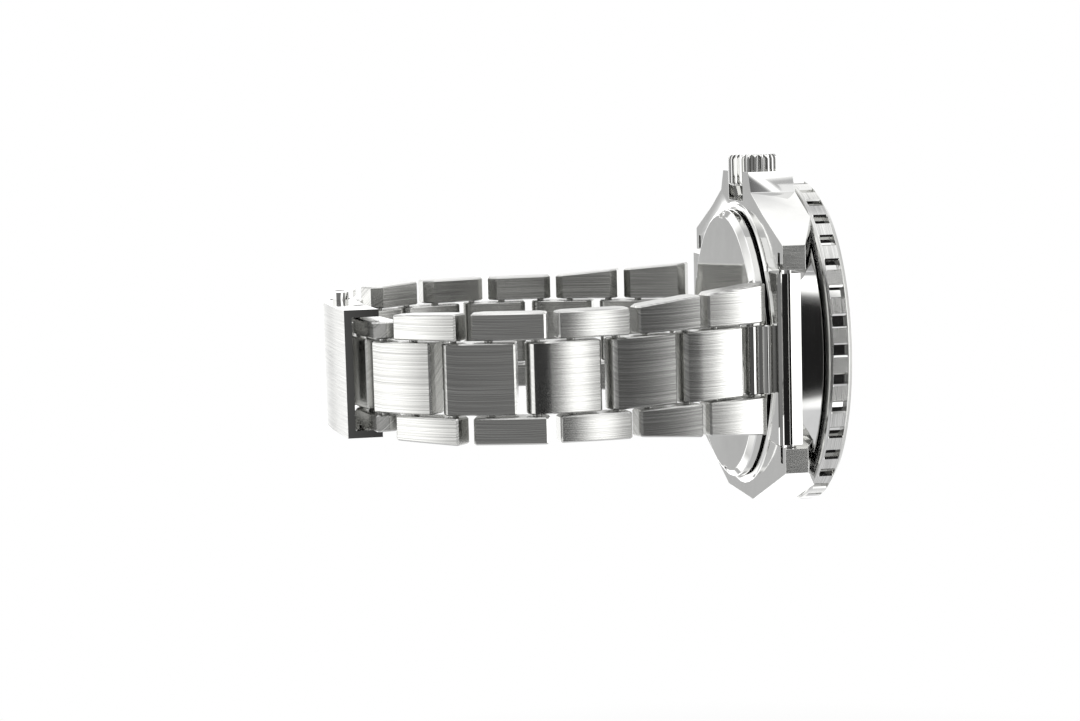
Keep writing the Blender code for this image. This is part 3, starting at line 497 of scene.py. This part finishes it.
# Moulded acetal is milky with faint flow marks of 2/3 mm
acetal = even("Acetal plastic, moulded holder", [2 / 3] * 3, "D9D9D2", "CFCFC8", 0.45, 0.6, 0.15,
              0.0)[0]
# Striping before plating leaves bands about 1.4 mm apart, which catch the light in turn
rhodium = even("Brass, rhodium plated and striped", (10 / 7, 50 / 3, 10 / 7), "D8D7D0", "B4B3AC",
               0.18, 0.35, 0.2)[0]
# Polished sapphire is clear and almost sharp, with haze in soft patches of 3 mm. It is coated
# against reflections on both faces, so the dial can be read under a bright light
sapphire = bpy.data.materials.new("Sapphire crystal, polished")
sapphire.use_nodes = True
shader = sapphire.node_tree.nodes["Principled BSDF"]
place = add(sapphire, "ShaderNodeTexCoord")
haze = add(sapphire, "ShaderNodeTexNoise", None, Vector=(place, "Object"), Scale=300.0)
rough = add(sapphire, "ShaderNodeMapRange", None, Value=(haze, 0), To_Min=0.0, To_Max=0.02)
sapphire.node_tree.links.new(rough.outputs[0], shader.inputs["Roughness"])
shader.inputs["Base Color"].default_value = linear("FBFDFD")
shader.inputs["Transmission Weight"].default_value = 1.0
shader.inputs["IOR"].default_value = 1.77
shader.inputs["Specular IOR Level"].default_value = 0.12

dress(lume, "hour_hand", "minute_hand", "seconds_hand", "bezel_pip")
dress(lacquer, "dial", "chapter_ring")
dress(sapphire, "crystal")
dress(rubber, "case_back_gasket", "crystal_gasket")
dress(acetal, "movement_holder")
dress(rhodium, "movement", "rotor")

MARK_BREAK = 0.05


def tile(angle, inner, outer, width, low, top, skew=0.0):
    """Skin of a raised mark on the dial side: a four-cornered outline between two radii, at an angle
    from 12 o'clock towards 3, carried from its low face to its top, where its edge is broken. Skew
    is how much wider each side is at the outer radius."""
    turn = math.radians(angle)
    out = np.array([-math.cos(turn), math.sin(turn)])
    across = np.array([math.sin(turn), math.cos(turn)])
    level = np.array([low, top - MARK_BREAK, top])[:, None, None]
    trim = np.array([0, 0, MARK_BREAK])[:, None]
    along = np.array([inner, outer, outer, inner]) + trim * [1, -1, -1, 1]
    aside = np.array([-1, -1, 1, 1]) * (width / 2 - trim) + np.array([0, -skew, skew, 0])
    flat = along[..., None] * out + aside[..., None] * across
    return np.concatenate([np.tile(level, (1, 4, 1)), flat, flat], -1), False


# Twelve hour markers: wide ones at 3, 6 and 9, and a tapered one at 12
hours = [tile(30 * hour, 10.2, 12.9, 1.5 if hour % 3 else 2.0, 7.95, 8.25, 0.0 if hour else 0.6)
         for hour in range(12)]
shape("dial_hour_markers", hours, lume, "case", [])
# A mark at every minute but the pip's, twice as wide at every fifth
minutes = [tile(6 * minute, 18.35, 19.65, 0.24 if minute % 5 else 0.5, 11.35, 11.43)
           for minute in range(1, 60)]
shape("insert_minute_marks", minutes, steel_ring, "bezel", [])


# ---- Studio ----
# Camera, white surroundings for the lens, a tent of light and dark cloth for the steel to mirror,
# one softbox above, and a white paper floor well below the watch.

scene = bpy.context.scene
# The camera is 0.3 m off on the 12 o'clock side, a little above the crown, and looks at the watch
camera = bpy.data.objects.new("camera", bpy.data.cameras.new("camera"))
scene.collection.objects.link(camera)
scene.camera = camera
camera.location = (-0.07111, -0.29324, 0.03166)
camera.rotation_euler = [math.radians(angle) for angle in (83.671, 1.549, -9.212)]
camera.data.lens = 76.57
camera.data.sensor_width = 36.0
camera.data.clip_start = 0.01

scene.view_settings.view_transform = "Standard"
world = bpy.data.worlds.new("studio tent")
scene.world = world
world.use_nodes = True
WHITE = (1.0, 1.0, 1.0, 1.0)
PLAIN = (0.8, 0.8, 0.8, 1.0)   # what lights matt surfaces, the same from all round
CEILING = (0.24, 0.24, 0.245, 1.0)
# The tent: degrees from the front towards the right, and how light the cloth is there. The dark
# stretch near zero is the gap for the lens. A ramp holds nothing over 1, so levels are stored as
# shares of the brightest
tent = ((-180, 2.2), (-170, 2.0), (-168.5, 0.6), (-163, 0.6), (-161, 1.8), (-148, 1.8),
        (-138, 0.9), (-95, 1.8), (-76, 2.2), (-69, 1.0), (-60, 0.45), (-34, 0.26),
        (-6, 0.28), (3, 0.15), (6, 0.02), (18.5, 0.02), (20, 0.3), (22, 3.0), (25, 3.0), (27.5, 0.4),
        (34, 0.15), (50, 0.15), (56, 0.35), (60, 0.7), (64, 3.0), (95, 2.2), (120, 0.9),
        (140, 0.9), (152, 1.5), (163, 1.5), (170, 1.2), (180, 2.2))
BRIGHTEST = 4.0
way = add(world, "ShaderNodeTexCoord")
split = add(world, "ShaderNodeSeparateXYZ", None, Vector=(way, "Generated"))
front = add(world, "ShaderNodeMath", {"operation": "MULTIPLY"}, n0=(split, "Y"), n1=-1.0)
turn = add(world, "ShaderNodeMath", {"operation": "ARCTAN2"}, n0=(split, "X"), n1=(front, 0))
share = add(world, "ShaderNodeMapRange", None, Value=(turn, 0), From_Min=-math.pi, From_Max=math.pi)
cloth = add(world, "ShaderNodeValToRGB", None, Fac=(share, 0))
stops = cloth.color_ramp.elements
for angle, light in tent:
    place = (angle + 180) / 360
    stop = stops[0] if place == 0 else stops[-1] if place == 1 else stops.new(place)
    stop.color = [light / BRIGHTEST] * 3 + [1.0]
# Near straight up and straight down the cloth gives way to an even ceiling and floor
lift = add(world, "ShaderNodeMapRange", None, Value=(split, "Z"), From_Min=-1.0, From_Max=1.0)
roof = add(world, "ShaderNodeValToRGB", None, Fac=(lift, 0))
stops = roof.color_ramp.elements
stops[0].position, stops[1].position = 0.13, 0.19
for stop, light in ((stops[0], 1), (stops[1], 0), (stops.new(0.86), 0), (stops.new(0.94), 1)):
    stop.color = (light, light, light, 1)
walls = add(world, "ShaderNodeMix", {"data_type": "RGBA"}, n0=(roof, 0), n6=(cloth, 0), n7=CEILING)
lit = add(world, "ShaderNodeVectorMath", {"operation": "SCALE"}, n0=(walls, 2), Scale=BRIGHTEST)
ray = add(world, "ShaderNodeLightPath")
# Matt surfaces are lit at a plain level, polished ones mirror the tent, and the lens sees white
level = add(world, "ShaderNodeMix", {"data_type": "RGBA"}, n0=(ray, "Is Glossy Ray"), n6=PLAIN,
            n7=(lit, 0))
direct = add(world, "ShaderNodeMath", {"operation": "MAXIMUM"}, n0=(ray, "Is Camera Ray"),
             n1=(ray, "Is Transmission Ray"))
seen = add(world, "ShaderNodeMix", {"data_type": "RGBA"}, n0=(direct, 0), n6=(level, 2), n7=WHITE)
world.node_tree.links.new(seen.outputs[2], world.node_tree.nodes["Background"].inputs["Color"])

lamp = bpy.data.lights.new("softbox above", "AREA")
lamp.shape = "RECTANGLE"
lamp.size = 0.5
lamp.size_y = 0.5
lamp.energy = 0.5
softbox = bpy.data.objects.new("softbox above", lamp)
scene.collection.objects.link(softbox)
softbox.location = (0.0, -0.1, 0.55)
softbox.visible_camera = False

# Floor of pale uncoated paper, matt with a fibre drawn 2.5 mm across. It keeps the soft shadow
# below the watch, and brightens into the white backdrop between the two distances
REACH = 20.0
BELOW = -0.1
FADE = (0.1, 0.22)
floor = bpy.data.meshes.new("floor")
floor.from_pydata([(-REACH, -REACH, BELOW), (REACH, -REACH, BELOW), (REACH, REACH, BELOW),
                   (-REACH, REACH, BELOW)], [], [(0, 1, 2, 3)])
ground = bpy.data.objects.new("floor", floor)
scene.collection.objects.link(ground)
paper = bpy.data.materials.new("Matt white paper, uncoated")
paper.use_nodes = True
surface = paper.node_tree.nodes["Principled BSDF"]
place = add(paper, "ShaderNodeTexCoord")
fibre = add(paper, "ShaderNodeTexNoise", None, Vector=(place, "Object"), Scale=400.0)
tone = add(paper, "ShaderNodeValToRGB", None, Fac=(fibre, 0))
tone.color_ramp.elements[0].color = linear("F2F2F2")
tone.color_ramp.elements[1].color = linear("F8F8F8")
paper.node_tree.links.new(tone.outputs[0], surface.inputs["Base Color"])
surface.inputs["Roughness"].default_value = 0.9
seen = add(paper, "ShaderNodeLightPath")
away = add(paper, "ShaderNodeVectorMath", {"operation": "LENGTH"}, n0=(place, "Object"))
fade = add(paper, "ShaderNodeMapRange", None, Value=(away, 1), From_Min=FADE[0], From_Max=FADE[1])
share = add(paper, "ShaderNodeMath", {"operation": "MULTIPLY"}, n0=(seen, "Is Camera Ray"),
            n1=(fade, 0))
glow = add(paper, "ShaderNodeEmission", None, Color=WHITE, Strength=1.0)
mixed = add(paper, "ShaderNodeMixShader", None, Fac=(share, 0), n1=(surface, 0), n2=(glow, 0))
# From below the sheet is clear, so that it doesn't stand in front of the watch
side = add(paper, "ShaderNodeNewGeometry")
clear = add(paper, "ShaderNodeBsdfTransparent")
whole = add(paper, "ShaderNodeMixShader", None, Fac=(side, "Backfacing"), n1=(mixed, 0),
            n2=(clear, 0))
paper.node_tree.links.new(whole.outputs[0], paper.node_tree.nodes["Material Output"].inputs[0])
floor.materials.append(paper)
ground.visible_glossy = False
